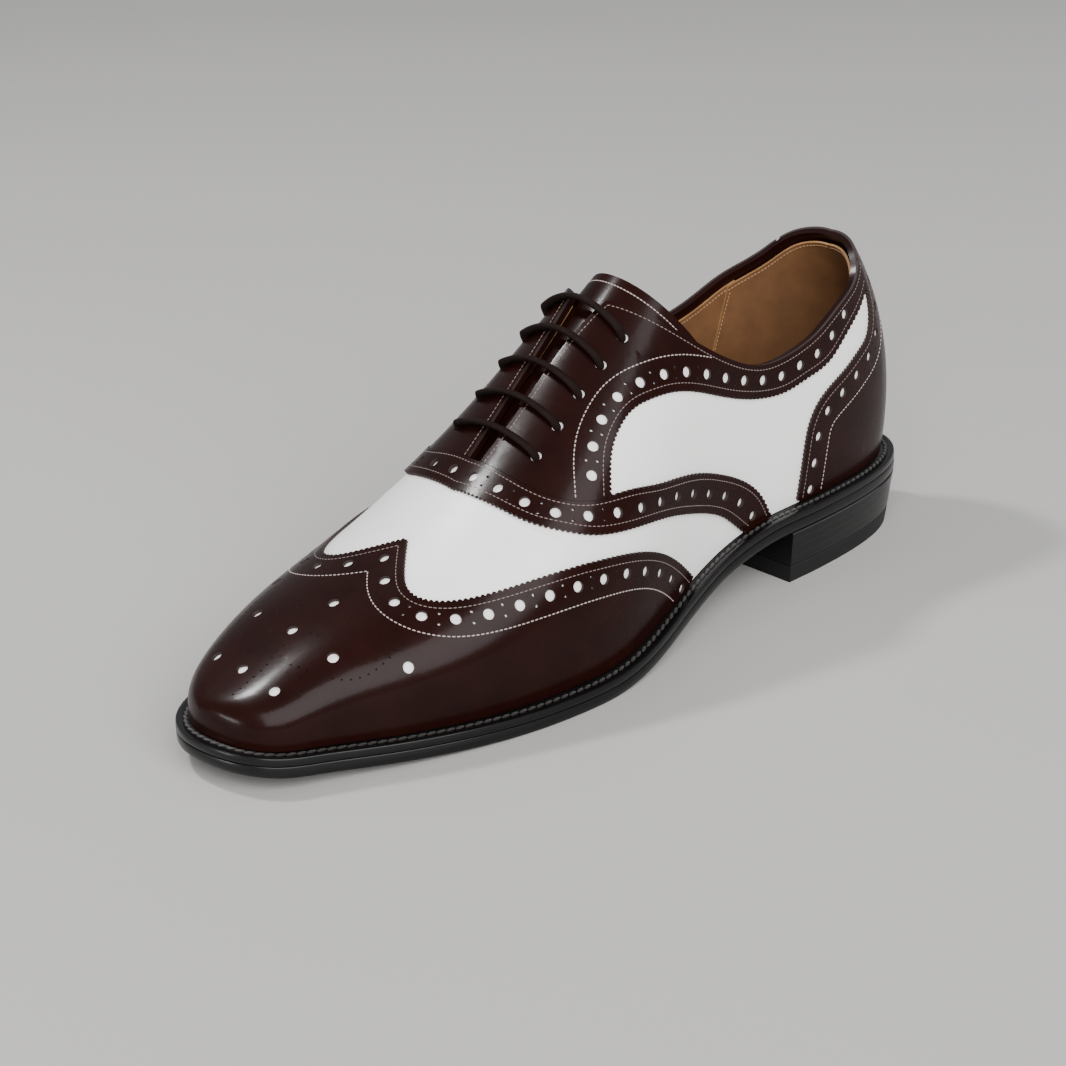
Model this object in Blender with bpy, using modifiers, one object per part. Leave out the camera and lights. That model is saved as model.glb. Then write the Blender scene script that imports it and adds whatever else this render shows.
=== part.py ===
"""Brogue oxford, a left shoe, as separate leather pieces built on one last.

Sizes are millimetres; the meshes are metres. The last runs along +X from the back of the heel to
the toe, +Y is the lateral (outer) side and z = 0 is the floor. A place on the last is given by x
and by psi, the angle down from the ridge line: 0 on the ridge, 90 at the feather edge where the
upper meets the welt, positive on the lateral side and negative on the medial side.
"""
import bmesh
import bpy
import numpy as np
from mathutils import Vector

MM = 0.001
OBJECT_NAME = "brogue_oxford"

# Driving dimensions
LAST_LENGTH = 292.0
HEEL_HEIGHT = 19.0        # floor to the underside of the outsole at the heel
TOP_PIECE = 6.0           # bottom lift of the heel
OUTSOLE = 3.8
WELT = 2.6
INSOLE = 2.5
UPPER_WALL = 2.0
OVERLAY = 1.2             # thickness of a brogued leather panel
TONGUE = 1.8
LACE_RADIUS = 1.1
GAP = 0.3                 # clearance between neighbouring pieces
PANEL_LIFT = 0.5          # panel above the upper's true curve, which its flat facets cut into
TONGUE_DEPTH = 3.2        # face of the tongue below that curve
FOOT_CLEAR = 1.0          # lower edge of a panel above the feather edge

# Profile of the sole along x
SEAT_END = 75.0           # flat seat above the heel ends here
BALL_START = 178.0        # flat tread of the forefoot
BALL_END = 202.0
TOE_SPRING = 6.0
SPRING_POWER = 1.7

# Heel block
HEEL_BREAST = 74.0
HEEL_TAPER = 0.95         # width of its base against its top

# The last: half widths at the feather edge, height of the ridge above it, sideways place of the
# ridge, swell of the wall, and the powers that round the section at its side and its top
LAST_COLUMNS = ("x", "lateral", "medial", "height", "ridge", "swell", "side_power", "top_power")
LAST_ROWS = (
    (0, 0.0, 0.0, 100.5, 0.0, 4.0, 0.55, 1.00),
    (15, 19.5, 18.5, 104.0, -0.5, 4.0, 0.56, 1.00),
    (35, 25.5, 27.0, 107.5, -1.0, 4.0, 0.58, 1.00),
    (60, 28.5, 29.5, 111.5, -1.5, 4.0, 0.62, 1.00),
    (85, 30.0, 28.0, 111.0, -0.5, 4.0, 0.72, 1.00),
    (110, 32.5, 26.5, 107.5, 1.0, 5.0, 0.85, 1.00),
    (135, 38.5, 29.0, 97.5, 2.0, 6.0, 0.95, 0.97),
    (160, 45.5, 34.5, 83.5, 3.5, 7.0, 1.00, 0.94),
    (185, 48.0, 41.0, 64.5, 4.5, 7.0, 1.00, 0.90),
    (210, 46.0, 44.5, 48.0, 5.0, 6.0, 0.97, 0.87),
    (235, 40.5, 41.5, 36.5, 4.5, 5.0, 0.90, 0.84),
    (255, 34.0, 34.0, 29.0, 3.5, 3.5, 0.80, 0.81),
    (270, 28.5, 26.5, 22.0, 1.5, 2.5, 0.75, 0.79),
    (282, 24.0, 18.5, 15.5, 0.5, 1.5, 0.71, 0.77),
    (292, 0.0, 0.0, 8.0, 0.0, 1.0, 0.68, 0.75),
)
SWELL_WIDTH = 20.0        # half width from which the wall has its full swell
BACK_REACH = 80.0         # the back curve fades out this far from the heel
BACK_HEIGHT = 65.0
BACK_SWELL = 13.0
BACK_LEAN = 9.0

# Width of the sole beyond the feather edge as (x, width), and of the welt and insole inside it
SOLE_EDGE = ((0, 5.9), (60, 5.9), (110, 5.0), (180, 6.2), (292, 5.2))
WELT_INSIDE = 7.0
INSOLE_INSIDE = 3.0

# Top line of the collar as (x, psi)
COLLAR = ((0, 37), (10, 41), (20, 46.5), (40, 53.5), (55, 58), (70, 60.3), (82, 60.3), (92, 57.8),
          (102, 53), (114, 44), (124, 32), (130, 21), (134, 11))
THROAT = 187.0            # x where the two facings close
FACING_FOOT = 183.5       # x of a facing's end, behind the strap
FACING_CORNER = 0.34      # share of a facing's free edge that lies along the lacing
EDGE_BACK = 0.5           # panel's free edge behind the upper's, degrees or millimetres
GAP_TOP = 7.5             # psi of a facing's edge at its top and at the throat
GAP_THROAT = 3.5

# Edges of the brogued panels as (psi, x), lateral side, from the ridge down
WING_EDGE = ((0, 216), (10, 224), (18, 228.5), (26, 229), (34, 225), (41, 216.5), (48, 202.5), (55, 187),
             (67, 161), (74, 147.5), (83.5, 132), (89, 124))
STRAP_FRONT = ((0, 196), (23, 193), (35, 189), (45, 182), (54, 172), (61, 159), (68, 142.5), (76, 123),
               (82.5, 107), (89, 95))
STRAP_BACK = ((0, 187), (14, 186), (28, 183.5), (39, 177.5), (47, 168.5), (54, 156), (62, 140.5),
              (69, 122.5), (75, 107.5), (80, 95.5), (85, 86.5), (89, 82))
# Lower edge of the facing and of its collar band as (x, psi), from the strap to the heel
BAND_EDGE = ((164, 47.5), (161, 43), (154, 39), (147, 39), (138, 42.5), (128, 47.5), (118, 53),
             (107.5, 58.5), (96.5, 63), (85, 66), (74, 67), (62, 66), (49.5, 64), (39.5, 60), (27, 55),
             (18.5, 51))
BAND_END = 16.2           # x of the band's upper corner, beside the back strip
# Upper edge of the counter as (x, height above the feather edge), from its back strip down
COUNTER_EDGE = ((15, 73), (16.5, 66), (18, 60), (20.5, 54), (24, 49.5), (29, 46.5), (34, 44.3), (39, 42),
                (44, 40), (49, 38), (53, 36), (57, 33), (60, 29), (62.5, 22), (64.5, 10), (66, 4))

# Tongue and lace
TONGUE_TOP = 124.0
TONGUE_FOOT = 204.0
TONGUE_PSI = 36.0
TONGUE_CROWN = 7.0        # how far the tongue's corners lie behind its middle
EYELET_ROWS = ((1, 137.5), (2, 147.5), (3, 157.5), (4, 167.5), (5, 177.0))
EYELET_PSI = 22.0

# Mesh counts: columns along the collar, its rise to the facing, the lacing and the vamp, and rows
COLLAR_TURN = 104.0
COLUMN_STEPS = (17, 8, 8, 14)
WALL_STEPS = 8
PLATE_STEPS = 40
LACE_STEPS = 9
MERGE = 0.02              # corners of a sheet closer than this are one
SHARP_ANGLE = 40.0
TAU_STEP = 0.003          # small steps along and across the last that give its normal
PSI_STEP = 0.3

# Line through the middle of the foot, which every wall faces away from
CORE_START = 35.0
CORE_END = 235.0
CORE_LIFT = 12.0

COLOURS = {                # sRGB, roughness
    "white_leather": ((0.92, 0.91, 0.90), 0.35),
    "brown_leather": ((0.17, 0.10, 0.10), 0.25),
    "tan_leather": ((0.72, 0.54, 0.36), 0.55),
    "black_edge": ((0.05, 0.05, 0.05), 0.35),
    "heel_rubber": ((0.09, 0.09, 0.09), 0.60),
    "waxed_lace": ((0.10, 0.06, 0.05), 0.55),
}


def spline(points):
    """Natural cubic through (position, value) points, as a function of an array."""
    xs, ys = np.array(points, float).T
    h = np.diff(xs)
    n = len(xs)
    system = np.eye(n)
    right = np.zeros(n)
    for i in range(1, n - 1):
        system[i, i - 1:i + 2] = h[i - 1], 2 * (h[i - 1] + h[i]), h[i]
        right[i] = 6 * ((ys[i + 1] - ys[i]) / h[i] - (ys[i] - ys[i - 1]) / h[i - 1])
    bend = np.linalg.solve(system, right)

    def value(at):
        at = np.clip(np.asarray(at, float), xs[0], xs[-1])
        i = np.clip(np.searchsorted(xs, at) - 1, 0, n - 2)
        a = (xs[i + 1] - at) / h[i]
        b = 1 - a
        curve = ((a**3 - a) * bend[i] + (b**3 - b) * bend[i + 1]) * h[i]**2 / 6
        return a * ys[i] + b * ys[i + 1] + curve

    return value


def tau(x):
    """Share of the way round from heel to toe, so that both ends come out round."""
    return np.arccos(np.clip(1 - 2 * np.asarray(x, float) / LAST_LENGTH, -1, 1)) / np.pi


def tau_to_x(t):
    return LAST_LENGTH * (1 - np.cos(np.pi * np.clip(t, 0, 1))) / 2


def last_column(name):
    column = LAST_COLUMNS.index(name)
    return spline([(tau(row[0]), row[column]) for row in LAST_ROWS])


LAST = {name: last_column(name) for name in LAST_COLUMNS[1:]}
collar_psi = spline(COLLAR)
FACING_TOP = COLLAR[-1][0]
wing_edge = spline(WING_EDGE)
strap_front = spline(STRAP_FRONT)
strap_back = spline(STRAP_BACK)
counter_edge = spline(COUNTER_EDGE)
band_edge = spline(BAND_EDGE[::-1])


def sole_bottom(x):
    """Underside of the outsole: heel seat, slope through the waist, flat tread and toe spring."""
    slope = np.clip((x - SEAT_END) / (BALL_START - SEAT_END), 0, 1)
    toe = np.clip((x - BALL_END) / (LAST_LENGTH - BALL_END), 0, None)
    return HEEL_HEIGHT * (1 - slope * slope * (3 - 2 * slope)) + TOE_SPRING * toe**SPRING_POWER


def welt_top(x):
    return sole_bottom(x) + OUTSOLE + GAP + WELT


def last_point(x, psi):
    """Point on the outside of the upper."""
    x, psi = np.broadcast_arrays(np.asarray(x, float), np.asarray(psi, float))
    t = tau(x)
    side = np.where(psi < 0, -1.0, 1.0)
    down = np.radians(np.clip(np.abs(psi), 0, 90))
    width = np.maximum(np.where(side > 0, LAST["lateral"](t), LAST["medial"](t)), 0)
    spread = np.sin(down)**LAST["side_power"](t)
    swell = LAST["swell"](t) * np.clip(width / SWELL_WIDTH, 0, 1) * np.sin(2 * down) * np.sin(down)**0.5
    rise = LAST["height"](t) * np.cos(down)**LAST["top_power"](t)
    share = rise / BACK_HEIGHT
    fade = np.clip(1 - x / BACK_REACH, 0, 1)**1.5
    back = fade * (BACK_LEAN * share**2 - BACK_SWELL * share * (1 - share))
    y = side * (width * spread + swell) + LAST["ridge"](t) * (1 - spread)
    return np.stack([x + back, y, welt_top(x) + GAP + rise], -1)


def last_normal(x, psi):
    """Outward direction, from small steps along the surface."""
    t = np.clip(tau(x), TAU_STEP + 0.001, 1 - TAU_STEP - 0.001)
    psi = np.asarray(psi, float)
    side = np.where(psi < 0, -1.0, 1.0)
    down = np.clip(np.abs(psi), PSI_STEP, 90 - 5 * PSI_STEP)
    along = last_point(tau_to_x(t + TAU_STEP), psi) - last_point(tau_to_x(t - TAU_STEP), psi)
    lower = last_point(tau_to_x(t), side * (down + PSI_STEP))
    across = lower - last_point(tau_to_x(t), side * (down - PSI_STEP))
    normal = np.cross(along, across) * side[..., None]
    at_end = np.abs(tau(x) - 0.5) > 0.4999
    normal[..., 1] = np.where(at_end, 0, normal[..., 1])
    return normal / np.linalg.norm(normal, axis=-1, keepdims=True)


def raised(x, psi, lift):
    return last_point(x, psi) + lift * last_normal(x, psi)


def psi_at_height(x, height):
    """Angle on the wall at a height above the feather edge."""
    t = tau(x)
    share = np.clip(height / LAST["height"](t), 0, 1)**(1 / LAST["top_power"](t))
    return np.degrees(np.arccos(share))


def height_at_psi(x, psi):
    t = tau(x)
    return LAST["height"](t) * np.cos(np.radians(psi))**LAST["top_power"](t)


def top_psi(x):
    """Angle of the upper's free edge: collar, then lacing gap, then closed along the ridge."""
    lacing = np.interp(x, (FACING_TOP, THROAT), (GAP_TOP, GAP_THROAT))
    edge = np.where(x < FACING_TOP, collar_psi(x), lacing)
    return np.where(x > THROAT + 0.01, 0.0, edge)


def feather_loop(count):
    """Plan of the feather edge, closed, from the medial toe round the heel to the lateral toe."""
    around = np.linspace(-1, 1, count + 1)[:-1]
    x = tau_to_x(np.abs(around))
    width = np.where(around > 0, LAST["lateral"](np.abs(around)), -LAST["medial"](np.abs(around)))
    return np.stack([x, width], -1)


def offset_outline(edge, count=PLATE_STEPS):
    """Feather edge moved outward by edge(x): lateral and medial halves from heel to toe."""
    loop = feather_loop(2 * count)
    run = np.roll(loop, -1, 0) - np.roll(loop, 1, 0)
    out = np.stack([-run[:, 1], run[:, 0]], -1) / np.linalg.norm(run, axis=1)[:, None]
    moved = loop + out * edge(loop[:, 0])[:, None]
    medial = moved[count::-1]
    lateral = np.vstack([moved[count:], moved[:1]])
    return lateral, medial


def sole_edge(x):
    return np.interp(x, *zip(*SOLE_EDGE))


def new_object(bm, name, colour):
    """Finish a bmesh as one named piece under the last's empty."""
    mesh = bpy.data.meshes.new(name)
    bm.to_mesh(mesh)
    bm.free()
    mesh.shade_smooth()
    mesh.set_sharp_from_angle(angle=np.radians(SHARP_ANGLE))
    return place(bpy.data.objects.new(name, mesh), colour)


def place(piece, colour):
    piece.parent = ORIGIN
    piece.data.materials.append(material(colour))
    PARTS.objects.link(piece)
    return piece


def material(name):
    found = bpy.data.materials.get(name)
    if found:
        return found
    rgb, roughness = COLOURS[name]
    made = bpy.data.materials.new(name)
    made.use_nodes = True
    shader = made.node_tree.nodes["Principled BSDF"]
    shader.inputs["Base Color"].default_value = (*[c**2.2 for c in rgb], 1)
    shader.inputs["Roughness"].default_value = roughness
    shader.inputs["Metallic"].default_value = 0.0
    return made


def sheet(columns, rows, shape):
    """Grid of columns by rows faces, bent to shape(s, t), with meeting edges merged."""
    bm = bmesh.new()
    bmesh.ops.create_grid(bm, x_segments=columns, y_segments=rows, size=0.5)
    st = np.array([v.co[:2] for v in bm.verts]) + 0.5
    for vert, point in zip(bm.verts, shape(st[:, 0], st[:, 1])):
        vert.co = point * MM
    bmesh.ops.remove_doubles(bm, verts=bm.verts, dist=MERGE * MM)
    bmesh.ops.triangulate(bm, faces=bm.faces, quad_method="FIXED")
    return bm


def face_up(bm, toward):
    """Turn an open sheet so that its middle face points along toward(face centre)."""
    bmesh.ops.recalc_face_normals(bm, faces=bm.faces)
    agree = sum(f.normal.dot(toward(f.calc_center_median())) * f.calc_area() for f in bm.faces)
    if agree < 0:
        bmesh.ops.reverse_faces(bm, faces=bm.faces)


def away_from_core(centre):
    """Outward direction of a wall: away from the line through the middle of the foot."""
    x = min(max(centre.x / MM, CORE_START), CORE_END)
    return centre - Vector((x, 0, welt_top(x) + CORE_LIFT)) * MM


def solidify(piece, thickness, outward):
    wall = piece.modifiers.new("wall", "SOLIDIFY")
    wall.thickness = thickness * MM
    wall.offset = 1.0 if outward else -1.0


def extrude_down(bm, thickness):
    """Make a sheet a plate by a straight drop, so its edge stands upright."""
    face_up(bm, lambda centre: Vector((0, 0, 1)))
    made = bmesh.ops.extrude_face_region(bm, geom=bm.faces[:], use_keep_orig=True)
    lower = [g for g in made["geom"] if isinstance(g, bmesh.types.BMVert)]
    bmesh.ops.translate(bm, verts=lower, vec=(0, 0, -thickness * MM))
    bmesh.ops.recalc_face_normals(bm, faces=bm.faces)


def plate(name, edge, top, thickness, colour):
    """Plate with the feather edge's plan, moved out by edge(x), under the surface top(x)."""
    lateral, medial = offset_outline(edge)
    along = np.linspace(0, 1, len(lateral))

    def shape(s, t):
        ends = [np.stack([np.interp(s, along, half[:, k]) for k in (0, 1)], -1) for half in (medial, lateral)]
        flat = ends[0] + (ends[1] - ends[0]) * t[:, None]
        return np.column_stack([flat, top(flat[:, 0])])

    bm = sheet(PLATE_STEPS, 4, shape)
    extrude_down(bm, thickness)
    return new_object(bm, name, colour)


def stations():
    """x of the columns of the upper, heel to toe, with a column at each corner of its edge."""
    corners = [tau(x) for x in (0, COLLAR_TURN, FACING_TOP, THROAT, LAST_LENGTH)]
    runs = [np.linspace(a, b, steps + 1)[1:] for a, b, steps in zip(corners, corners[1:], COLUMN_STEPS)]
    return tau_to_x(np.concatenate([[0], *runs]))


def make_upper():
    xs = stations()
    half = len(xs) - 1

    def shape(s, t):
        around = (s * 2 - 1) * half
        x = np.interp(np.abs(around), np.arange(half + 1), xs)
        psi = 90 + (top_psi(x) - 90) * t
        return last_point(x, np.where(around < 0, -1, 1) * psi)

    bm = sheet(2 * half, WALL_STEPS, shape)
    face_up(bm, away_from_core)
    solidify(new_object(bm, "upper", "white_leather"), UPPER_WALL, outward=False)


def make_panel(name, columns, rows, place_xy, colour="brown_leather"):
    """Brogued panel: a patch of the last at place_xy(s, t), a gap above the upper."""
    bm = sheet(columns, rows, lambda s, t: raised(*place_xy(s, t), PANEL_LIFT))
    face_up(bm, away_from_core)
    solidify(new_object(bm, name, colour), OVERLAY, outward=True)


def foot_psi(x):
    """Angle of a panel's lower edge, just above the welt."""
    return psi_at_height(x, FOOT_CLEAR)


def make_toe_cap():
    def place_xy(s, t):
        share = s * 2 - 1
        start = wing_edge(np.abs(share) * WING_EDGE[-1][0])
        x = tau_to_x(tau(start) + (1 - tau(start)) * t)
        return x, share * foot_psi(x)

    make_panel("toe_cap", 34, 14, place_xy)


def make_throat_strap():
    def place_xy(s, t):
        share = s * 2 - 1
        psi = np.abs(share) * STRAP_BACK[-1][0]
        x = strap_back(psi) + (strap_front(psi) - strap_back(psi)) * t
        return x, share * foot_psi(x)

    make_panel("throat_strap", 44, 2, place_xy)


def make_facing(name, side):
    """Eyestay with its collar band: a patch between the band's edge and the free edge."""
    strap_psi = BAND_EDGE[0][1]
    bottom_x = np.array([row[0] for row in BAND_EDGE], float)
    bottom_at = np.linspace(0, 1, len(bottom_x))
    top_at = (0, FACING_CORNER, 1)
    top_x = (FACING_FOOT, FACING_TOP + EDGE_BACK, BAND_END)

    def place_xy(s, t):
        x_low = np.interp(s, bottom_at, bottom_x)
        psi_low = band_edge(x_low)
        x_high = np.interp(s, top_at, top_x)
        psi_high = top_psi(x_high) + EDGE_BACK
        psi_front = strap_psi + (GAP_THROAT + EDGE_BACK - strap_psi) * t
        x_front = strap_back(psi_front) - 3 * GAP
        bulge = x_front - (x_front[t == 0][0] + (x_front[t == 1][0] - x_front[t == 0][0]) * t)
        x = x_low + (x_high - x_low) * t + bulge * np.clip(1 - s / FACING_CORNER, 0, 1)
        return x, side * (psi_low + (psi_high - psi_low) * t)

    make_panel(name, 30, 5, place_xy)


def make_counter():
    xs = stations()
    x_edge = [row[0] for row in COUNTER_EDGE]
    x_half = np.concatenate([xs[xs < x_edge[0]], x_edge])
    steps = len(x_half) - 1

    def place_xy(s, t):
        around = (s * 2 - 1) * steps
        x = np.interp(np.abs(around), np.arange(steps + 1), x_half)
        height = np.where(x < x_edge[0], height_at_psi(x, collar_psi(x)) - EDGE_BACK, counter_edge(x))
        height = FOOT_CLEAR + (height - FOOT_CLEAR) * t
        return x, np.where(around < 0, -1, 1) * psi_at_height(x, height)

    make_panel("counter", 2 * steps, 7, place_xy)


def make_tongue():
    def shape(s, t):
        share = s * 2 - 1
        top = TONGUE_TOP - TONGUE_CROWN * share**2
        x = top + (TONGUE_FOOT - top) * t
        return raised(x, share * TONGUE_PSI, -TONGUE_DEPTH)

    bm = sheet(10, 9, shape)
    face_up(bm, away_from_core)
    solidify(new_object(bm, "tongue", "brown_leather"), TONGUE, outward=False)


def make_welt():
    """Flat strip from under the wall of the upper out to the edge of the sole."""
    halves = [np.vstack([m[:0:-1], l]) for l, m in (offset_outline(sole_edge), offset_outline(welt_inside))]
    along = np.linspace(0, 1, len(halves[0]))

    def shape(s, t):
        outer, inner = [np.stack([np.interp(s, along, h[:, k]) for k in (0, 1)], -1) for h in halves]
        flat = inner + (outer - inner) * t[:, None]
        return np.column_stack([flat, welt_top(flat[:, 0])])

    bm = sheet(len(along) - 1, 1, shape)
    extrude_down(bm, WELT)
    new_object(bm, "welt", "black_edge")


def insole_edge(x):
    return np.full_like(x, -INSOLE_INSIDE)


def welt_inside(x):
    return np.full_like(x, -WELT_INSIDE)


def make_heel(name, top, bottom, top_scale, bottom_scale, colour):
    """Slice of the heel block: the back of the sole's plan, cut straight at the breast."""
    lateral, medial = offset_outline(sole_edge)
    rows = [half[half[:, 0] < HEEL_BREAST] for half in (lateral, medial)]
    ends = [(HEEL_BREAST, np.interp(HEEL_BREAST, half[:, 0], half[:, 1])) for half in (lateral, medial)]
    plan = np.vstack([[ends[1]], rows[1][:0:-1], rows[0], [ends[0]]])
    centre = np.array([HEEL_BREAST, 0.0])
    bm = bmesh.new()
    corners = [bm.verts.new((*((centre + (p - centre) * bottom_scale) * MM), bottom * MM)) for p in plan]
    base = bm.faces.new(corners)
    made = bmesh.ops.extrude_face_region(bm, geom=[base], use_keep_orig=True)
    lift = [g for g in made["geom"] if isinstance(g, bmesh.types.BMVert)]
    grow = top_scale / bottom_scale
    for vert in lift:
        flat = centre * MM + (np.array(vert.co[:2]) - centre * MM) * grow
        vert.co = (*flat, top * MM)
    bmesh.ops.recalc_face_normals(bm, faces=bm.faces)
    new_object(bm, name, colour)


def make_lace_bar(row, x):
    """One straight bar of the lace, lying across both facings from eyelet to eyelet."""
    psi = np.linspace(EYELET_PSI, -EYELET_PSI, LACE_STEPS)
    lift = PANEL_LIFT + OVERLAY + GAP + LACE_RADIUS
    ends = raised(np.array([x, x]), psi[[0, -1]], lift)
    points = raised(np.full(LACE_STEPS, x), psi, lift)
    line = ends[0] + (ends[1] - ends[0]) * np.linspace(0, 1, LACE_STEPS)[:, None]
    points[:, 2] = np.maximum(points[:, 2], line[:, 2])
    curve = bpy.data.curves.new(f"lace_bar_{row}", "CURVE")
    curve.dimensions = "3D"
    curve.bevel_depth = LACE_RADIUS * MM
    curve.bevel_resolution = 2
    curve.use_fill_caps = True
    path = curve.splines.new("POLY")
    path.points.add(len(points) - 1)
    for knot, point in zip(path.points, points):
        knot.co = (*(point * MM), 1)
    place(bpy.data.objects.new(f"lace_bar_{row}", curve), "waxed_lace")


def main():
    plate("outsole", sole_edge, lambda x: sole_bottom(x) + OUTSOLE, OUTSOLE, "black_edge")
    make_welt()
    plate("insole", insole_edge, lambda x: welt_top(x) + GAP + INSOLE, INSOLE, "tan_leather")
    block_share = (TOP_PIECE + GAP) / HEEL_HEIGHT
    waist = HEEL_TAPER + (1 - HEEL_TAPER) * block_share
    make_heel("heel_stack", HEEL_HEIGHT - GAP, TOP_PIECE + GAP, 1.0, waist, "black_edge")
    make_heel("heel_top_piece", TOP_PIECE, 0.0, waist, HEEL_TAPER, "heel_rubber")
    make_upper()
    make_toe_cap()
    make_throat_strap()
    make_facing("facing_lateral", 1)
    make_facing("facing_medial", -1)
    make_counter()
    make_tongue()
    for row, x in EYELET_ROWS:
        make_lace_bar(row, x)


for old in list(bpy.data.objects):
    bpy.data.objects.remove(old)
PARTS = bpy.data.collections.new(OBJECT_NAME)
bpy.context.scene.collection.children.link(PARTS)
plan_points = np.vstack(offset_outline(sole_edge))
plan_centre = (plan_points.min(0) + plan_points.max(0)) / 2
ORIGIN = bpy.data.objects.new("last_origin", None)      # heel end of the last, under the heel's back
ORIGIN.location = (-plan_centre[0] * MM, -plan_centre[1] * MM, 0)
PARTS.objects.link(ORIGIN)
main()
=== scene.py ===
import bmesh
import bpy
import numpy as np
from mathutils import Matrix, Vector


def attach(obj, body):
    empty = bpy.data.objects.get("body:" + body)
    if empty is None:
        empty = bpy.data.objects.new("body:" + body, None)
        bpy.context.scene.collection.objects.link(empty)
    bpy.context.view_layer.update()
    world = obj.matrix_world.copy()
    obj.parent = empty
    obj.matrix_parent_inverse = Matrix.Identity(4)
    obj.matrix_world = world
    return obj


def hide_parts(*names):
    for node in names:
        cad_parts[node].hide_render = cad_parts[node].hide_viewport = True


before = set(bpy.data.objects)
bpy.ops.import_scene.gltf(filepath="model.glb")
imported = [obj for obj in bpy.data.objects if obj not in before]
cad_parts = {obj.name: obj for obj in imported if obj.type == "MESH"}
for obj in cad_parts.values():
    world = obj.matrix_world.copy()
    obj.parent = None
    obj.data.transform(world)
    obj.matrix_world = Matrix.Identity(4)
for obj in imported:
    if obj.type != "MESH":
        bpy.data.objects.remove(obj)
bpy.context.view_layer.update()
mm = 0.001
print("frame loaded,", len(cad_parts), "solids")

# The last that every piece is cut for, in millimetres from the back of the heel, as the solids have it
last = {
    "length": 292.0,
    "heelHeight": 19.0,
    "topPiece": 6.0,
    "outsole": 3.8,
    "welt": 2.6,
    "wall": 2.0,
    "gap": 0.3,
    "seatEnd": 75.0,
    "ballStart": 178.0,
    "ballEnd": 202.0,
    "toeSpring": 6.0,
    "springPower": 1.7,
    "heelBreast": 74.0,
    "heelTaper": 0.95,
    "swellWidth": 20.0,
    "backReach": 80.0,
    "backHeight": 65.0,
    "backSwell": 13.0,
    "backLean": 9.0,
    "swellPower": 0.5,
    "fadePower": 1.5,
    "planSteps": 40,
    "planShare": 0.25,       # part of such a step over which the plan's direction is taken
    "soleEdge": ((0, 5.9), (60, 5.9), (110, 5.0), (180, 6.2), (292, 5.2)),
    "columns": ("x", "lateral", "medial", "height", "ridge", "swell", "sidePower", "topPower"),
    "rows": (
        (0, 0.0, 0.0, 100.5, 0.0, 4.0, 0.55, 1.00),
        (15, 19.5, 18.5, 104.0, -0.5, 4.0, 0.56, 1.00),
        (35, 25.5, 27.0, 107.5, -1.0, 4.0, 0.58, 1.00),
        (60, 28.5, 29.5, 111.5, -1.5, 4.0, 0.62, 1.00),
        (85, 30.0, 28.0, 111.0, -0.5, 4.0, 0.72, 1.00),
        (110, 32.5, 26.5, 107.5, 1.0, 5.0, 0.85, 1.00),
        (135, 38.5, 29.0, 97.5, 2.0, 6.0, 0.95, 0.97),
        (160, 45.5, 34.5, 83.5, 3.5, 7.0, 1.00, 0.94),
        (185, 48.0, 41.0, 64.5, 4.5, 7.0, 1.00, 0.90),
        (210, 46.0, 44.5, 48.0, 5.0, 6.0, 0.97, 0.87),
        (235, 40.5, 41.5, 36.5, 4.5, 5.0, 0.90, 0.84),
        (255, 34.0, 34.0, 29.0, 3.5, 3.5, 0.80, 0.81),
        (270, 28.5, 26.5, 22.0, 1.5, 2.5, 0.75, 0.79),
        (282, 24.0, 18.5, 15.5, 0.5, 1.5, 0.71, 0.77),
        (292, 0.0, 0.0, 8.0, 0.0, 1.0, 0.68, 0.75),
    ),
    # top line as (x, degrees down from the ridge), then the lacing gap
    "collar": ((0, 37), (10, 41), (20, 46.5), (40, 53.5), (55, 58), (70, 60.3), (82, 60.3), (92, 57.8),
               (102, 53), (114, 44), (124, 32), (130, 21), (134, 11)),
    "collarTurn": 104.0,
    "throat": 187.0,
    # lacing edge as (x, degrees from the ridge), widest at the rounded top corner
    "lacing": ((134, 11), (138, 9.2), (142, 8.1), (147, 6.9), (155, 5.9), (167, 5.2), (176, 4.5), (187, 3.5)),
}


def spline(points):
    # natural cubic through (position, value) points
    xs, ys = np.array(points, float).T
    h = np.diff(xs)
    n = len(xs)
    system = np.eye(n)
    right = np.zeros(n)
    for i in range(1, n - 1):
        system[i, i - 1:i + 2] = h[i - 1], 2 * (h[i - 1] + h[i]), h[i]
        right[i] = 6 * ((ys[i + 1] - ys[i]) / h[i] - (ys[i] - ys[i - 1]) / h[i - 1])
    bend = np.linalg.solve(system, right)

    def value(at):
        at = np.clip(np.asarray(at, float), xs[0], xs[-1])
        i = np.clip(np.searchsorted(xs, at) - 1, 0, n - 2)
        a = (xs[i + 1] - at) / h[i]
        b = 1 - a
        curve = ((a**3 - a) * bend[i] + (b**3 - b) * bend[i + 1]) * h[i]**2 / 6
        return a * ys[i] + b * ys[i + 1] + curve

    return value


def tau(x):
    # share of the way from heel to toe that makes both ends come out round
    return np.arccos(np.clip(1 - 2 * np.asarray(x, float) / last["length"], -1, 1)) / np.pi


def fromTau(t):
    return last["length"] * (1 - np.cos(np.pi * np.clip(t, 0, 1))) / 2


def unit(vectors):
    return vectors / np.linalg.norm(vectors, axis=-1, keepdims=True)


def sideOf(psi):
    return np.where(psi < 0, -1.0, 1.0)


def softStep(share):
    # from 0 to 1 with a soft start and a soft end
    return share * share * (3 - 2 * share)


lastCurve = {
    name: spline([(tau(row[0]), row[i]) for row in last["rows"]])
    for i, name in enumerate(last["columns"]) if i
}
collarPsi = spline(last["collar"])
lacingPsi = spline(last["lacing"])
facingTop = last["collar"][-1][0]


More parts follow.
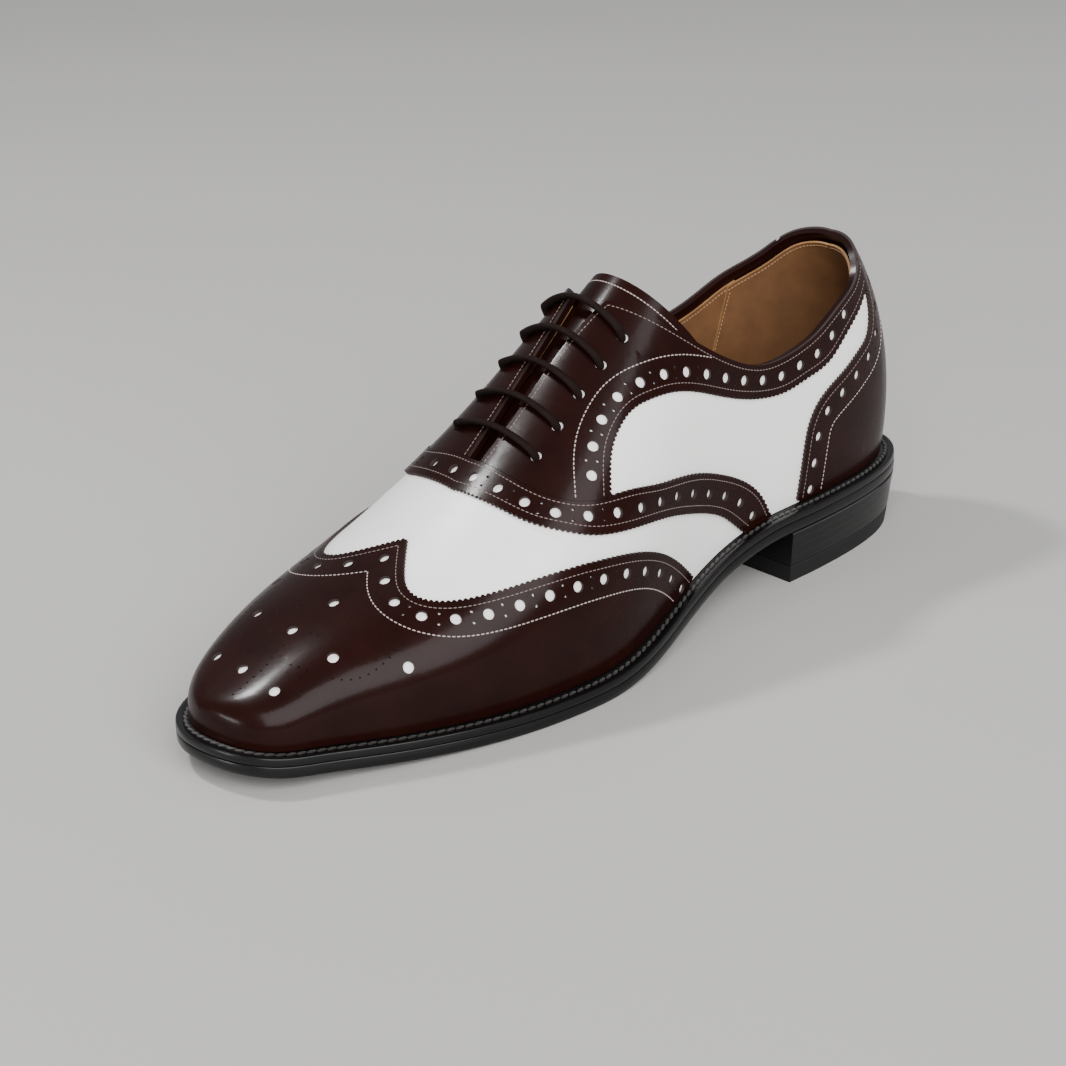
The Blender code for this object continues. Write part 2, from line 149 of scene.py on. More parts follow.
def soleBottom(x):
    slope = np.clip((x - last["seatEnd"]) / (last["ballStart"] - last["seatEnd"]), 0, 1)
    toe = np.clip((x - last["ballEnd"]) / (last["length"] - last["ballEnd"]), 0, None)
    spring = last["toeSpring"] * toe**last["springPower"]
    return last["heelHeight"] * (1 - softStep(slope)) + spring


def weltTop(x):
    return soleBottom(x) + last["outsole"] + last["gap"] + last["welt"]


def lastPoint(x, psi):
    x, psi = np.broadcast_arrays(np.asarray(x, float), np.asarray(psi, float))
    t = tau(x)
    side = sideOf(psi)
    down = np.radians(np.clip(np.abs(psi), 0, 90))
    width = np.maximum(np.where(side > 0, lastCurve["lateral"](t), lastCurve["medial"](t)), 0)
    spread = np.sin(down)**lastCurve["sidePower"](t)
    full = np.clip(width / last["swellWidth"], 0, 1)
    swell = lastCurve["swell"](t) * full * np.sin(2 * down) * np.sin(down)**last["swellPower"]
    rise = lastCurve["height"](t) * np.cos(down)**lastCurve["topPower"](t)
    share = rise / last["backHeight"]
    fade = np.clip(1 - x / last["backReach"], 0, 1)**last["fadePower"]
    back = fade * (last["backLean"] * share**2 - last["backSwell"] * share * (1 - share))
    y = side * (width * spread + swell) + lastCurve["ridge"](t) * (1 - spread)
    return np.stack([x + back, y, weltTop(x) + last["gap"] + rise], -1)


def lastNormal(x, psi):
    # worked out over small steps, which stay clear of the round ends and of the foot
    tauStep, tauMargin = 0.003, 0.004
    psiStep, psiMargin = 0.3, 1.5
    nearEnd = 0.4999
    t = np.clip(tau(x), tauMargin, 1 - tauMargin)
    psi = np.asarray(psi, float)
    side = sideOf(psi)
    down = np.clip(np.abs(psi), psiStep, 90 - psiMargin)
    along = lastPoint(fromTau(t + tauStep), psi) - lastPoint(fromTau(t - tauStep), psi)
    lower = lastPoint(fromTau(t), side * (down + psiStep))
    across = lower - lastPoint(fromTau(t), side * (down - psiStep))
    normal = np.cross(along, across) * side[..., None]
    atEnd = np.abs(tau(x) - 0.5) > nearEnd
    normal[..., 1] = np.where(atEnd, 0, normal[..., 1])
    return unit(normal)


def topPsi(x):
    # free edge of the upper, which closes on the ridge in front of the throat
    closed = last["throat"] + 0.01
    edge = np.where(x < facingTop, collarPsi(x), lacingPsi(x))
    return np.where(x > closed, 0.0, edge)


def psiAtHeight(x, height):
    t = tau(x)
    share = np.clip(height / lastCurve["height"](t), 0, 1)**(1 / lastCurve["topPower"](t))
    return np.degrees(np.arccos(share))


# Flat patterns: u runs along the shoe and v down its sides, both roughly in millimetres of leather
pattern = {"along": last["length"] * np.pi / 2, "across": 0.9, "cell": 3.0, "step": 0.2, "endMargin": 1.0,
           "lowest": 89.3}


def toPattern(x, psi):
    x, psi = np.broadcast_arrays(np.asarray(x, float), np.asarray(psi, float))
    return np.stack([tau(x) * pattern["along"], psi * pattern["across"]], -1)


def fromPattern(uv):
    return fromTau(uv[..., 0] / pattern["along"]), uv[..., 1] / pattern["across"]


def onLast(uv, lift=0.0):
    x, psi = fromPattern(np.asarray(uv, float))
    return lastPoint(x, psi) + np.asarray(lift)[..., None] * lastNormal(x, psi)


def stretch(uv):
    # how the pattern's two directions lie on the last, one column each
    middle = pattern["along"] / 2
    reach = np.array([middle - pattern["endMargin"], pattern["across"] * pattern["lowest"]])
    uv = np.clip(np.asarray(uv, float) - (middle, 0), -reach, reach) + (middle, 0)
    steps = np.eye(2) * pattern["step"]
    return np.stack([onLast(uv + step) - onLast(uv - step) for step in steps], -1) / (2 * pattern["step"])


def walk(uv, move):
    # pattern point after a small move over the leather, given in millimetres in space
    pull = stretch(uv)
    flat = np.swapaxes(pull, -1, -2)
    return uv + np.linalg.solve(flat @ pull, flat @ move[..., None])[..., 0]


def frameAlong(line):
    # unit directions at each point of a line on the last: along it, and across it over the leather
    run = unit(np.gradient(onLast(line), axis=0))
    x, psi = fromPattern(line)
    normal = lastNormal(x, psi)
    return run, np.cross(normal, run), normal


def lengthAlong(points):
    steps = np.linalg.norm(np.diff(points, axis=0), axis=1)
    return np.concatenate([[0], np.cumsum(steps)])


def pointsAt(at, length, line):
    return np.stack([np.interp(at, length, column) for column in line.T], -1)


def evenly(line, spacing, start=0.0):
    # the same line with points a set distance apart on the leather
    length = lengthAlong(onLast(line))
    return pointsAt(np.arange(start, length[-1] + 1e-6, spacing), length, line)


def outward(line, toward):
    # sign of the across direction that leads away from the pattern point toward
    middle = len(line) // 2
    away = onLast(line[middle]) - onLast(np.array(toward))
    return np.sign(np.dot(frameAlong(line)[1][middle], away))


def inset(line, distance, toward):
    # parallel line on the side where the pattern point toward lies, without the loops that corners make
    steps, clear = 6, 0.95
    source = onLast(line)
    sign = -outward(line, toward)
    for step in range(steps):
        line = walk(line, sign * frameAlong(line)[1] * distance / steps)
    apart = np.linalg.norm(onLast(line)[:, None] - source, axis=2).min(1)
    return line[apart > clear * distance]


def mirrored(line):
    return line * np.array([1, -1])


# The sole's plan: the feather edge, where upper and welt meet, moved out along its own normal
def featherLoop(around):
    share = np.abs(around)
    width = np.where(around > 0, lastCurve["lateral"](share), -lastCurve["medial"](share))
    return np.stack([fromTau(share), width], -1)


def movedOut(loop, run, out):
    side = unit(np.stack([-run[..., 1], run[..., 0]], -1))
    return loop + side * np.asarray(out)[..., None]


def wrapped(around):
    return (around + 1) % 2 - 1


def loopPoint(around, out):
    around = wrapped(np.asarray(around, float))
    step = last["planShare"] / last["planSteps"]
    ahead, behind = featherLoop(wrapped(around + step)), featherLoop(wrapped(around - step))
    return movedOut(featherLoop(around), ahead - behind, out)


def soleEdge(x):
    return np.interp(x, *zip(*last["soleEdge"]))


def planCentre():
    steps = last["planSteps"]
    loop = featherLoop(np.linspace(-1, 1, 2 * steps + 1)[:-1])
    moved = movedOut(loop, np.roll(loop, -1, 0) - np.roll(loop, 1, 0), soleEdge(loop[:, 0]))
    return (moved.min(0) + moved.max(0)) / 2


centre = np.append(planCentre(), 0.0)


def toWorld(points):
    return (np.asarray(points, float) - centre) * mm


def placed(name, data):
    # object in the scene that shows the data
    thing = bpy.data.objects.new(name, data)
    bpy.context.scene.collection.objects.link(thing)
    return thing


# Camera fitted to the photo: direction and distance from a point in the middle of the shoe
photo = {
    "frame": 1066.0,
    "azimuth": 40.95,
    "elevation": 22.75,
    "roll": -2.34,
    "distance": 790.07,
    "focal": 2406.8,
    "middle": (556.36, 512.56),
    "target": (150.0, 0.0, 40.0),
    "sensor": 36.0,
}


def setCamera():
    az, el, roll = np.radians([photo["azimuth"], photo["elevation"], photo["roll"]])
    back = np.array([np.cos(el) * np.sin(az), np.cos(el) * np.cos(az), np.sin(el)])
    right = unit(np.cross((0, 0, 1), back))
    up = np.cross(back, right)
    tiltedRight = right * np.cos(roll) + up * np.sin(roll)
    tiltedUp = up * np.cos(roll) - right * np.sin(roll)
    data = bpy.data.cameras.new("photoCamera")
    data.sensor_width = photo["sensor"]
    data.lens = photo["sensor"] * photo["focal"] / photo["frame"]
    half = photo["frame"] / 2
    data.shift_x = -(photo["middle"][0] - half) / photo["frame"]
    data.shift_y = (photo["middle"][1] - half) / photo["frame"]
    camera = placed("photoCamera", data)
    place = toWorld(np.array(photo["target"]) + back * photo["distance"])
    camera.matrix_world = Matrix([(*row, p) for row, p in zip(zip(tiltedRight, tiltedUp, back), place)]
                                 + [(0, 0, 0, 1)])
    bpy.context.scene.camera = camera


setCamera()
print("camera set")


# Materials
def srgb(code):
    # hex colour to linear
    parts = [int(code[i:i + 2], 16) / 255 for i in (1, 3, 5)]
    return (*[c / 12.92 if c <= 0.04045 else ((c + 0.055) / 1.055)**2.4 for c in parts], 1.0)


def perMetre(size):
    # pattern scale that gives a grain of this many millimetres
    return 1 / (size * mm)


def addNode(finish, kind, settings=None, links=None, feeds=None):
    # one node with its settings, by property or by socket, what comes in and what it feeds in the shader
    tree = finish.node_tree
    node = tree.nodes.new(kind)
    for key, value in (settings or {}).items():
        if isinstance(key, str) and key not in node.inputs:
            setattr(node, key, value)
        else:
            node.inputs[key].default_value = value
    for key, socket in (links or {}).items():
        tree.links.new(socket, node.inputs[key])
    for key, output in (feeds or {}).items():
        tree.links.new(node.outputs[output], tree.nodes["Principled BSDF"].inputs[key])
    return node


def newFinish(name, look):
    # a Principled material with its even values set on the shader itself
    finish = bpy.data.materials.new(name)
    finish.use_nodes = True
    for key, value in look["shader"].items():
        finish.node_tree.nodes["Principled BSDF"].inputs[key].default_value = value
    return finish


def makeFinish(name, look):
    # tone that drifts between two colours, with uneven gloss and a relief where the look has them
    finish = newFinish(name, look)
    place = addNode(finish, "ShaderNodeTexCoord").outputs["Object"]
    if "run" in look:
        stretched = addNode(finish, "ShaderNodeMapping", {"Scale": look["run"]}, {"Vector": place})
        place = stretched.outputs["Vector"]
    noises = {}
    for layer in ("drift", "wax", "pore"):
        if layer in look:
            size, detail, roughness = look[layer]
            noises[layer] = addNode(finish, "ShaderNodeTexNoise",
                                    {"Scale": perMetre(size), "Detail": detail, "Roughness": roughness},
                                    {"Vector": place}).outputs["Fac"]
    addNode(finish, "ShaderNodeMix", {"data_type": "RGBA", 6: srgb(look["dark"]), 7: srgb(look["light"])},
            {0: noises["drift"]}, {"Base Color": 2})
    if "roughness" in look:
        low, high = look["roughness"]
        addNode(finish, "ShaderNodeMapRange", {"To Min": low, "To Max": high},
                {"Value": noises.get("wax", noises["drift"])}, {"Roughness": "Result"})
    height = noises.get("pore", noises["drift"])
    if "grain" in look:
        height = addNode(finish, "ShaderNodeTexVoronoi", {"Scale": perMetre(look["grain"])},
                         {"Vector": place}).outputs["Distance"]
    if "relief" in look:
        depth, strength = look["relief"]
        addNode(finish, "ShaderNodeBump", {"Strength": strength, "Distance": depth * mm}, {"Height": height},
                {"Normal": "Normal"})
    return finish


# In each look, drift, wax and pore are noises as (millimetres, detail, roughness), grain is the width of
# the leather's cells, relief is (depth in millimetres, strength), and roughness gives two ends of a range

# finished white calf: even pigment coat, soft sheen, a grain so fine that it only breaks the highlight
whiteCalf = {
    "dark": "#e6e3e1", "light": "#f1efee", "drift": (22.0, 3.0, 0.5), "grain": 0.55, "relief": (0.012, 0.25),
    "shader": {"Roughness": 0.42, "IOR": 1.48, "Coat Weight": 0.12, "Coat Roughness": 0.3},
}
# polished oxblood calf: dark dye that clouds a little, under hard wax that gives clear soft highlights
brownCalf = {
    "dark": "#0f0403", "light": "#230d0a", "drift": (16.0, 4.0, 0.55), "wax": (3.0, 5.0, 0.5),
    "roughness": (0.22, 0.36), "grain": 0.4, "relief": (0.01, 0.3),
    "shader": {"IOR": 1.4, "Specular IOR Level": 0.06, "Coat Weight": 0.14, "Coat Roughness": 0.16},
}
# cut edge of the dyed leather: matt fibres, a touch lighter than the face
cutEdge = {"dark": "#140a08", "light": "#2a1812", "drift": (0.5, 3.0, 0.5), "shader": {"Roughness": 0.7}}
# vegetable-tanned lining leather: matt, open pores, uneven tan, paler where its edge is pared
tanLining = {
    "dark": "#4a2e18", "light": "#75502f", "drift": (9.0, 6.0, 0.6), "pore": (0.7, 3.0, 0.5),
    "relief": (0.03, 0.4), "shader": {"Roughness": 0.68, "IOR": 1.45},
}
paredEdge = {**tanLining, "dark": "#75502f", "light": "#ab8052"}
# sole edge leather, stained black and ironed with wax: satin, with faint streaks along the edge
blackEdge = {
    "dark": "#040404", "light": "#0c0b0b", "run": (0.12, 0.12, 1.0), "drift": (1.2, 4.0, 0.5),
    "roughness": (0.28, 0.45), "relief": (0.03, 0.3),
    "shader": {"IOR": 1.5, "Specular IOR Level": 0.18, "Coat Weight": 0.2, "Coat Roughness": 0.14},
}
# moulded heel rubber: dull black with a fine grit
heelRubber = {
    "dark": "#080707", "light": "#100f0f", "drift": (0.6, 3.0, 0.5), "relief": (0.05, 0.4),
    "shader": {"Roughness": 0.62, "Specular IOR Level": 0.3},
}
# twisted linen thread: matt, with the ply too fine to show, drawn as a fleck
linenThread = {"drift": (0.4, 2.0, 0.5), "shader": {"Roughness": 0.6, "Sheen Weight": 0.15}}
threadTones = {
    "paleThread": ("palePinkThread", "#948580", "#bcaea9"),
    "greyThread": ("greyPinkThread", "#5b4d49", "#857571"),
    "darkThread": ("blackWeltThread", "#0f0c0b", "#2b2521"),
    "tanThread": ("tanThread", "#7c5835", "#a67e54"),
}
# waxed cotton lace: braided yarns show as a slanting ripple, filled with dull wax
waxedCotton = {
    "dark": "#0b0504", "light": "#1a0d0a", "relief": (0.12, 0.5),
    "braid": 0.9,
    "barLength": 50.0,       # what one unit of the lace's own map stands for
    "waver": 0.3,
    "shader": {"Roughness": 0.62, "IOR": 1.4, "Specular IOR Level": 0.15},
}


def makeWaxedCotton():
    finish = newFinish("waxedCottonBraid", waxedCotton)
    along = addNode(finish, "ShaderNodeUVMap", {"uv_map": "along"}).outputs["UV"]
    ripples = perMetre(waxedCotton["braid"]) * waxedCotton["barLength"] * mm
    yarns = {}
    for k, flip in enumerate((1.0, -1.0)):
        turned = addNode(finish, "ShaderNodeMapping", {"Scale": (1.0, flip, 1.0)}, {"Vector": along})
        yarns[k] = addNode(finish, "ShaderNodeTexWave",
                           {"bands_direction": "DIAGONAL", "Scale": ripples,
                            "Distortion": waxedCotton["waver"]},
                           {"Vector": turned.outputs["Vector"]}).outputs["Fac"]
    braid = addNode(finish, "ShaderNodeMath", {"operation": "MAXIMUM"}, yarns).outputs["Value"]
    addNode(finish, "ShaderNodeMix",
            {"data_type": "RGBA", 6: srgb(waxedCotton["dark"]), 7: srgb(waxedCotton["light"])},
            {0: braid}, {"Base Color": 2})
    depth, strength = waxedCotton["relief"]
    addNode(finish, "ShaderNodeBump", {"Strength": strength, "Distance": depth * mm}, {"Height": braid},
            {"Normal": "Normal"})
    return finish


finishes = {
    "white": makeFinish("finishedWhiteCalf", whiteCalf),
    "brown": makeFinish("polishedOxbloodCalf", brownCalf),
    "cut": makeFinish("dyedCutEdge", cutEdge),
    "tan": makeFinish("vegetableTanLining", tanLining),
    "tanEdge": makeFinish("pareLiningEdge", paredEdge),
    "black": makeFinish("blackWaxedSoleEdge", blackEdge),
    "rubber": makeFinish("mouldedHeelRubber", heelRubber),
    "lace": makeWaxedCotton(),
}
for key, (name, dark, light) in threadTones.items():
    finishes[key] = makeFinish(name, {**linenThread, "dark": dark, "light": light})
print("materials made:", len(finishes))


# Mesh helpers, in degrees and in millimetres
bench = {"sharp": 38.0, "weld": 0.005, "gridWeld": 0.01, "cut": 0.001}
core = {"back": 35.0, "front": 235.0, "up": 12.0}        # line inside the shoe that its sheets look away from


def meshFrom(bm, name):
    mesh = bpy.data.meshes.new(name)
    bm.to_mesh(mesh)
    bm.free()
    return mesh


def addPiece(bm, name, finishNames, slot, *nodes):
    # bmesh in last millimetres to a finished piece that rides on the shoe
    bmesh.ops.recalc_face_normals(bm, faces=bm.faces)
    for vert in bm.verts:
        vert.co = toWorld(vert.co)
    mesh = meshFrom(bm, name)
    mesh.shade_smooth()
    mesh.set_sharp_from_angle(angle=np.radians(bench["sharp"]))
    for key in finishNames:
        mesh.materials.append(finishes[key])
    piece = placed(name, mesh)
    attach(piece, "root")
    if nodes:
        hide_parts(*nodes)
    print(name, len(mesh.polygons), "faces")


def moveTo(verts, points):
    for vert, point in zip(verts, points):
        vert.co = point


def bendGrid(columns, rows, shape):
    # grid of columns by rows, bent to shape(s, t), its meeting edges merged
    bm = bmesh.new()
    alongLayer = bm.loops.layers.uv.new("along")
    bmesh.ops.create_grid(bm, x_segments=columns, y_segments=rows, size=0.5)
    st = np.array([v.co[:2] for v in bm.verts]) + 0.5
    bm.verts.index_update()
    for face in bm.faces:
        for loop in face.loops:
            loop[alongLayer].uv = st[loop.vert.index]
    moveTo(bm.verts, shape(st[:, 0], st[:, 1]))
    bmesh.ops.remove_doubles(bm, verts=bm.verts, dist=bench["gridWeld"])
    return bm


def fill(bm, edges, normal=(0, 0, 1)):
    bmesh.ops.triangle_fill(bm, use_beauty=True, use_dissolve=False, edges=edges, normal=normal)


def faceAway(bm):
    # turn an open sheet so that it looks away from the core of the shoe
    bmesh.ops.recalc_face_normals(bm, faces=bm.faces)
    agree = 0.0
    for face in bm.faces:
        middle = face.calc_center_median()
        x = min(max(middle.x, core["back"]), core["front"])
        inside = Vector((x, 0.0, weltTop(x) + core["up"]))
        agree += face.normal.dot(middle - inside) * face.calc_area()
    if agree < 0:
        bmesh.ops.reverse_faces(bm, faces=bm.faces)


def thicken(bm, sheet, shape):
    # second face of a sheet at shape(its points), and the wall between the two
    made = bmesh.ops.extrude_face_region(bm, geom=sheet, use_keep_orig=True)
    moved = [g for g in made["geom"] if isinstance(g, bmesh.types.BMVert)]
    faces = [g for g in made["geom"] if isinstance(g, bmesh.types.BMFace)]
    moveTo(moved, shape(moved))
    return set(faces)


def backed(bm, thickness):
    # second face of a whole sheet, so far along its own normals
    bm.normal_update()
    return thicken(bm, bm.faces[:], lambda verts: [v.co + v.normal * thickness for v in verts])


# Brogued panels: cut flat with pinked edges and punched holes, then laid on the last
brogue = {
    "toothDepth": 0.75,
    "toothStep": 0.26,
    "frontTooth": 1.55,      # pitch of the teeth near the ridge and up the heel, then low on the sides
    "sideTooth": 2.3,
    # punches as (radius, corners), of which the pricker for the toe's scrolls doesn't go through
    "punches": {"hole": (1.75, 18), "pinhole": (0.5, 8), "pricked": (0.36, 8), "eyelet": (1.85, 18)},
    "pinholeApart": 1.75,
    "holePitch": 9.5,
    "holeEnd": 3.0,
    "edgeStitch": 2.0,
    "lift": 0.05,
    "thickness": 0.95,
    "traceStep": 0.5,
    "samples": 400,
    "footSamples": 90,
    "spanSamples": 12,
    "scrollSamples": 40,
    "foot": 89.8,
    "stitchFoot": 89.2,
    "runOn": 6.0,            # how far a row of stitches runs on past its edge, up to the welt or a seam
}
panelTop = brogue["lift"] + brogue["thickness"]


def pinked(line, toward, firstPitch, lastPitch):
    # the line with small round teeth standing out from the panel, their pitch growing evenly along it
    line = evenly(line, brogue["toothStep"])
    turn = np.cumsum(brogue["toothStep"] / np.linspace(firstPitch, lastPitch, len(line)))
    out = outward(line, toward) * brogue["toothDepth"] * np.abs(np.sin(np.pi * turn))
    return walk(line, frameAlong(line)[1] * out[:, None])


def punch(bm, uv, kind):
    # round hole, flattened into the pattern so that it is round again on the last, a pricked one with a floor
    radius, corners = brogue["punches"][kind]
    pull = stretch(np.array(uv))
    along = np.linalg.norm(pull[:, 0])
    lean = pull[:, 0] @ pull[:, 1] / along
    down = np.sqrt(max(pull[:, 1] @ pull[:, 1] - lean**2, 1e-9))
    flat = np.linalg.inv(np.array([[along, lean], [0, down]]))
    matrix = Matrix(((flat[0, 0], flat[0, 1], 0, uv[0]), (flat[1, 0], flat[1, 1], 0, uv[1]),
                     (0, 0, 1, 0), (0, 0, 0, 1)))
    bmesh.ops.create_circle(bm, segments=corners, radius=radius, matrix=matrix, cap_ends=kind == "pricked")


def bothSides(holes):
    return holes + [(mirrored(uv), kind) for uv, kind in holes]


def brogueHoles(row, start, ends=brogue["holeEnd"], pitch=brogue["holePitch"]):
    # large holes along a row, with a pair of pinholes across the band between each two
    fine = evenly(row, brogue["traceStep"] / 2)
    across = frameAlong(fine)[1]
    length = (len(fine) - 1) * brogue["traceStep"] / 2
    places = np.arange(start, length - ends, pitch / 2)
    holes = []
    for k, place in enumerate(places):
        at = int(round(place / brogue["traceStep"] * 2))
        if k % 2 == 0:
            holes.append((fine[at], "hole"))
            continue
        for side in (-1, 1):
            move = side * across[at] * brogue["pinholeApart"]
            holes.append((walk(fine[at], move), "pinhole"))
    return holes


def cutPanel(name, outlines, holes, thickness, node):
    bm = bmesh.new()
    uLayer = bm.verts.layers.float.new("u")
    vLayer = bm.verts.layers.float.new("v")
    for outline in outlines:
        corners = [bm.verts.new((u, v, 0)) for u, v in outline]
        for a, b in zip(corners, corners[1:] + corners[:1]):
            bm.edges.new((a, b))
    for hole in holes:
        punch(bm, *hole)
    for face in bm.faces:
        face.material_index = 1
    fill(bm, bm.edges[:])
    flat = np.array([v.co[:2] for v in bm.verts])
    for axis in (0, 1):
        low, high = flat[:, axis].min(), flat[:, axis].max()
        direction = np.eye(3)[axis]
        for k in range(int(np.ceil(low / pattern["cell"])), int(high // pattern["cell"]) + 1):
            bmesh.ops.bisect_plane(bm, geom=bm.verts[:] + bm.edges[:] + bm.faces[:], dist=bench["cut"],
                                   plane_co=direction * k * pattern["cell"], plane_no=direction)
    bmesh.ops.triangulate(bm, faces=bm.faces)
    for vert in bm.verts:
        vert[uLayer], vert[vLayer] = vert.co.x, vert.co.y

    def laid(verts, height):
        return onLast([(v[uLayer], v[vLayer]) for v in verts], height)

    moveTo(bm.verts, laid(bm.verts, brogue["lift"]))
    bmesh.ops.remove_doubles(bm, verts=bm.verts, dist=bench["weld"])
    faceAway(bm)
    sheet = [face for face in bm.faces if face.material_index == 0]
    top = thicken(bm, sheet, lambda verts: laid(verts, brogue["lift"] + thickness))
    for face in bm.faces:
        face.material_index = 0 if face in top else 1
    addPiece(bm, name, ("brown", "cut"), "brown_leather", node)


def traced(points, psiFirst):
    # listed edge points to a fine line on the pattern
    curve = spline(points)
    at = np.linspace(points[0][0], points[-1][0], brogue["samples"])
    line = toPattern(curve(at), at) if psiFirst else toPattern(at, curve(at))
    return evenly(line, brogue["traceStep"])


def straight(a, b):
    # points between two corners of an outline
    return np.linspace(a, b, brogue["spanSamples"])[1:-1]


def footLine(xFrom, xTo):
    x = fromTau(np.linspace(tau(xFrom), tau(xTo), brogue["footSamples"]))
    return toPattern(x, np.full_like(x, brogue["foot"]))


stitchLines = {"paleThread": [], "greyThread": []}     # rows of thread as (line, height of the leather)


def addRow(line, height, tone, sides=(1, -1)):
    # the part of a line above the welt, on one or both sides of the shoe
    line = line[np.abs(line[:, 1]) < brogue["stitchFoot"] * pattern["across"]]
    for side in sides:
        stitchLines[tone].append((line if side > 0 else mirrored(line), height))


def extended(line, head, tail):
    # the line run straight on at its ends by so many millimetres
    span = 3                 # points over which each end's direction is taken
    back = np.arange(int(head / brogue["traceStep"]), 0, -1)[:, None]
    ahead = np.arange(1, int(tail / brogue["traceStep"]) + 1)[:, None]
    before = line[0] + (line[0] - line[span]) / span * back
    after = line[-1] + (line[-1] - line[-1 - span]) / span * ahead
    return np.vstack([before, line, after])


def eased(line, reach):
    # running mean over so many points each way, which rounds tight corners
    padded = np.pad(line, ((reach, reach), (0, 0)), mode="edge")
    window = np.ones(2 * reach + 1) / (2 * reach + 1)
    smooth = np.stack([np.convolve(padded[:, k], window, mode="valid") for k in (0, 1)], -1)
    return smooth[reach:-reach]


def threaded(points, spacing):
    # even points along a smooth line through listed (x, psi) points
    order = np.arange(len(points))
    at = np.linspace(0, len(points) - 1, brogue["scrollSamples"] * len(points))
    x, psi = (spline(list(zip(order, column)))(at) for column in zip(*points))
    return evenly(toPattern(x, psi), spacing)


# Winged toe cap, with its peak on the ridge
wing = {
    "edge": ((0, 216), (10, 224), (18, 228.5), (26, 229), (34, 225), (41, 216.5), (48, 202.5), (55, 187),
             (67, 161), (74, 147.5), (83.5, 132), (89, 124)),
    "inside": (255.0, 30.0),
    "band": 11.0,
    "firstHole": 1.0,
    "holePitch": 10.2,
    "peakHole": (1.0, 0.0),  # from the row's end on the ridge, over the pattern
    # toe ornament, a little to the outer side: large holes as (psi, x), then scrolls of pinholes as (x, psi)
    "middleHoles": ((2.8, 246), (2.0, 260.5), (2.2, 278)),
    "sideHoles": ((32.5, 259.5), (56, 242.6), (32, 277.6)),
    "medialShare": 0.68,
    "scrolls": (
        ((255, 5.5), (252, 10), (249.3, 16), (247.5, 24), (245, 31), (243, 38), (243.5, 44), (248, 48.5),
         (253, 51.5), (258, 51.5), (262, 47.5), (265, 41), (267, 33), (268.3, 26), (269.5, 20.5)),
        ((263.5, 5.5), (266, 6.5), (269, 8), (272, 10), (275, 11.5), (279.5, 12), (282.5, 13), (285.5, 14.5)),
        ((269.8, 34), (270, 39), (271.5, 43.5), (274.5, 43)),
        ((258.5, 10.5), (258, 13.7), (257.8, 17)),
    ),
    "scrollPitch": 2.7,
}


def rightOfRidge(line):
    # the part of a line on the lateral side, ending on the ridge
    keep = np.where(line[:, 1] > 0)[0]
    first = keep[0]
    if first == 0:
        return line
    a, b = line[first - 1], line[first]
    onRidge = a + (b - a) * (-a[1] / (b[1] - a[1]))
    return np.vstack([onRidge[None], line[first:]])


def makeToeCap():
    edge = traced(wing["edge"], True)
    inside = toPattern(*wing["inside"])
    teeth = pinked(edge, inside, brogue["frontTooth"], brogue["sideTooth"])
    teeth = np.vstack([edge[:1], teeth[1:]])
    foot = footLine(wing["edge"][-1][1], last["length"])[1:]
    outline = np.vstack([mirrored(foot[::-1]), mirrored(teeth[:0:-1]), teeth, foot])
    row = rightOfRidge(inset(edge, wing["band"] / 2, inside))
    half = brogueHoles(row, wing["firstHole"] + wing["holePitch"], pitch=wing["holePitch"])
    holes = [(row[0] + np.array(wing["peakHole"]), "hole")] + bothSides(half)
    holes += [(toPattern(x, psi), "hole") for psi, x in wing["middleHoles"]]
    ornament = [(toPattern(x, psi), "hole") for psi, x in wing["sideHoles"]]
    for scroll in wing["scrolls"]:
        ornament += [(uv, "pricked") for uv in threaded(scroll, wing["scrollPitch"])]
    toMedial = np.array([1, -wing["medialShare"]])
    for uv, kind in ornament:
        holes += [(uv, kind), (uv * toMedial, kind)]
    for distance, tone in ((brogue["edgeStitch"], "greyThread"), (wing["band"], "paleThread")):
        row = rightOfRidge(extended(inset(edge, distance, inside), brogue["runOn"], brogue["runOn"]))
        addRow(row, panelTop, tone)
    cutPanel("wingToeCap", [outline], holes, brogue["thickness"], "toe_cap")


makeToeCap()


# Strap across the throat, down both sides to the welt
strap = {
    "front": ((0, 196), (23, 193), (35, 189), (45, 182), (54, 172), (61, 159), (68, 142.5), (76, 123),
              (82.5, 107), (89, 95), (89.9, 93.3)),
    "back": ((0, 187), (14, 186), (28, 183.5), (39, 177.5), (47, 168.5), (54, 156), (62, 140.5),
             (69, 122.5), (75, 107.5), (80, 95.5), (85, 86.5), (89, 82), (89.9, 81)),
    "facingEnd": 49.0,       # degrees where the facing's border gives way to the white quarter
    "thickness": 1.3,
    "backStitch": 1.3,
    "firstHole": 4.5,
    "holePitch": 10.2,
    "samples": 300,
    "weld": 0.01,
}
strapBack = spline(strap["back"])


